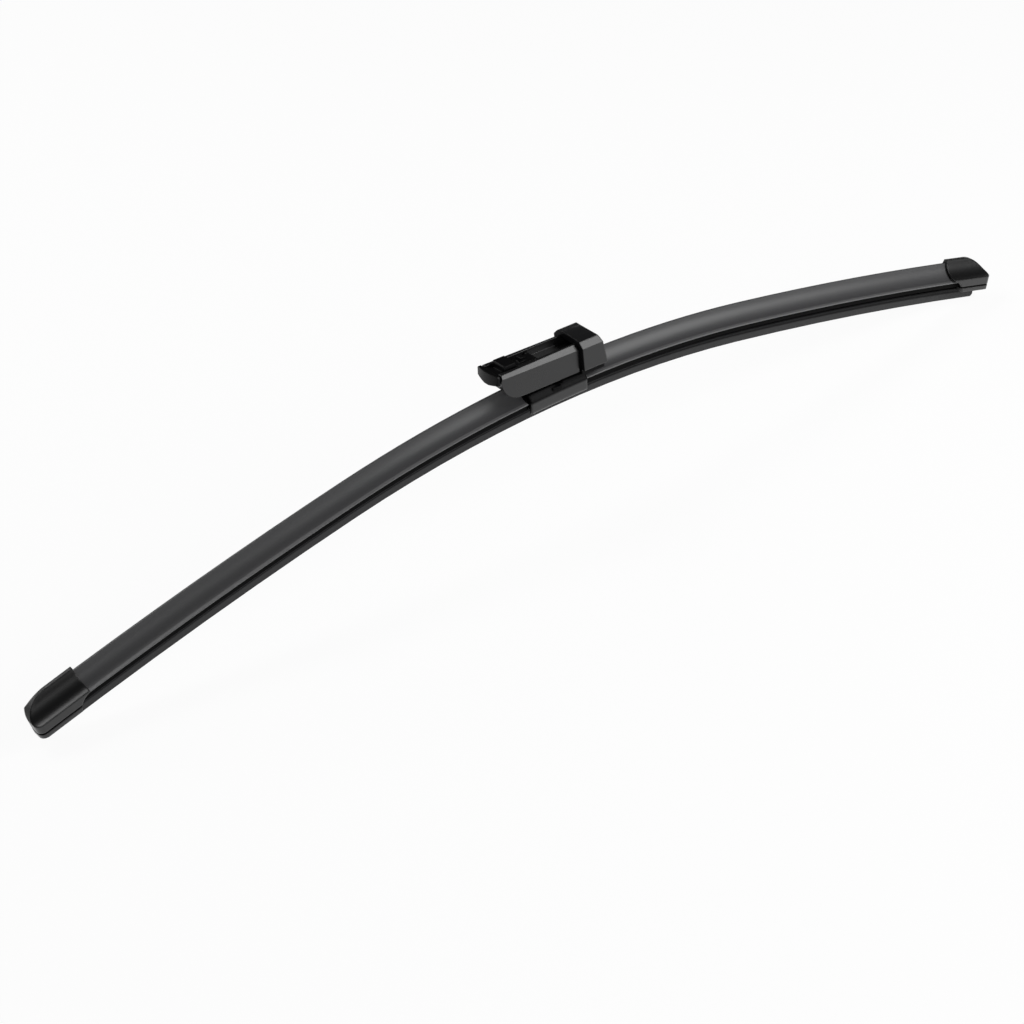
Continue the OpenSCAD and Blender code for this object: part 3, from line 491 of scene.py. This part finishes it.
# The rear cover
# A smoother moulding with softly rounded edges, pushed over the tail of the body. The
# end of the wiper arm meets its front face, which is left without sheen as painted shade.
# Its guide rails at the foot are painted near black, without sheen, as shade.
COVER_BLACK = (0.005, 0.005, 0.0057, 1)
GUIDE_PAINTED_SHADE = (0.004, 0.004, 0.0042, 1)
COVER_SHEEN = 0.3
GUIDE_SHADE_COAT = 0.05
GUIDE_TOP = -0.0042
cover_plastic = finish_material("cover_plastic", COVER_BLACK, rough=0.5,
                                specular=FAINT_GLOSS, fineness=5200, depth=0.3, edge=0.0009)
# Painted shade on the guide rails at the foot of the cover
band(cover_plastic, ((GUIDE_TOP, SHARP),),
     (GUIDE_PAINTED_SHADE, COVER_BLACK), (GUIDE_SHADE_COAT, 1), COVER_SHEEN, bowed=False)

# The cover's sizes, before it is tilted with the adaptor
COVER_TILT = math.radians(1.6)
COVER_HALF = 0.0109
COVER_FOOT = -0.0032
COVER_HEIGHT = 0.0156
COVER_BACK = 0.0259
BACK_LEAN = 0.0034 / COVER_HEIGHT
FRONT_LEAN = 0.0012 / COVER_HEIGHT
FRONT_FACE = 0.01138
FRONT_FADE = 0.0005
FRONT_LIMIT = 0.0116
SLOPE_START = 0.00812
SLOPE_FOOT = 0.01015
SLOPE_DROP = 0.0013
SLOPE_SLACK = 0.0008
SIDE_SLACK = 0.0001
MERGE_DISTANCE = 0.000002
EDGE_ROUND = 0.0007
EDGE_SEGMENTS = 3
EDGE_ANGLE = math.radians(24)
tilted = Matrix.Rotation(COVER_TILT, 4, "Y")
straight = tilted.inverted()

# The sheen starts behind the front face, which is left without it as painted shade
tree = cover_plastic.node_tree
coat = tree.nodes["Principled BSDF"].inputs["Coat Weight"]
place = tree.nodes.new("ShaderNodeTexCoord")
behind = tree.nodes.new("ShaderNodeVectorMath")
behind.operation = "DOT_PRODUCT"
behind.inputs[1].default_value = tilted @ Vector((1, 0, FRONT_LEAN))
rise = tree.nodes.new("ShaderNodeMapRange")
rise.inputs["From Min"].default_value = FRONT_FACE
rise.inputs["From Max"].default_value = FRONT_FACE + FRONT_FADE
shown = tree.nodes.new("ShaderNodeMath")
shown.operation = "MULTIPLY"
tree.links.new(place.outputs["Object"], behind.inputs[0])
tree.links.new(behind.outputs["Value"], rise.inputs["Value"])
tree.links.new(coat.links[0].from_socket, shown.inputs[0])
tree.links.new(rise.outputs["Result"], shown.inputs[1])
tree.links.new(shown.outputs[0], coat)


def merged_copy(name, material, body):
    """A piece in place of a solid, from the solid's mesh with its triangles joined."""
    mesh = bpy.data.meshes.new(name + "_finished")
    shape = bmesh.new()
    shape.from_mesh(nodes[name].data)
    bmesh.ops.transform(shape, matrix=nodes[name].matrix_world, verts=shape.verts)
    bmesh.ops.remove_doubles(shape, verts=shape.verts, dist=MERGE_DISTANCE)
    shape.to_mesh(mesh)
    shape.free()
    mesh.materials.append(material)
    piece = bpy.data.objects.new(name + "_finished", mesh)
    bpy.context.collection.objects.link(piece)
    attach(piece, body)
    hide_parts(name)
    return piece


rear_cover = merged_copy("rear_cover", cover_plastic, "adaptor")

# The side slopes fall further at their feet, and their ends stay in the leaning faces
for corner in rear_cover.data.vertices:
    place = straight @ corner.co
    out = abs(place.y) - SLOPE_START
    if out > 0 and place.z > SLOPE_FOOT - SLOPE_SLACK:
        fall = SLOPE_DROP * out / (COVER_HALF - SLOPE_START)
        if place.x < FRONT_LIMIT:
            place.x += fall * FRONT_LEAN
            place.z -= fall
        elif abs(place.y) > COVER_HALF - SIDE_SLACK:
            place.z = SLOPE_FOOT - SLOPE_DROP
            place.x = COVER_BACK - BACK_LEAN * (place.z - COVER_FOOT)
        else:
            place.z -= fall
        corner.co = tilted @ place
rear_cover.data.shade_smooth()
rear_cover.data.set_sharp_from_angle(angle=EDGE_ANGLE)
rounding = rear_cover.modifiers.new("rounded_edges", "BEVEL")
rounding.width = EDGE_ROUND
rounding.segments = EDGE_SEGMENTS
rounding.limit_method = "ANGLE"
rounding.angle_limit = EDGE_ANGLE

# The latch lever
# An acetal moulding that turns on two trunnions in the cheeks. Pressing its nose plate
# takes the locking button down out of the wiper arm.
LEVER_BLACK = (0.003, 0.003, 0.0033, 1)
lever_plastic = finish_material("lever_plastic", LEVER_BLACK, rough=0.28, specular=0.1,
                                fineness=4800, depth=0.3, edge=0.0005)
dress("latch_lever", lever_plastic)

# The latch spring
# A bent leaf of plated spring steel, which stands on the floor of the body. In the blade
# the lever flattens it onto its foot; here its own mesh keeps the bent shape.
latch_spring = merged_copy("latch_spring", plated_steel, "adaptor")
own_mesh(latch_spring)
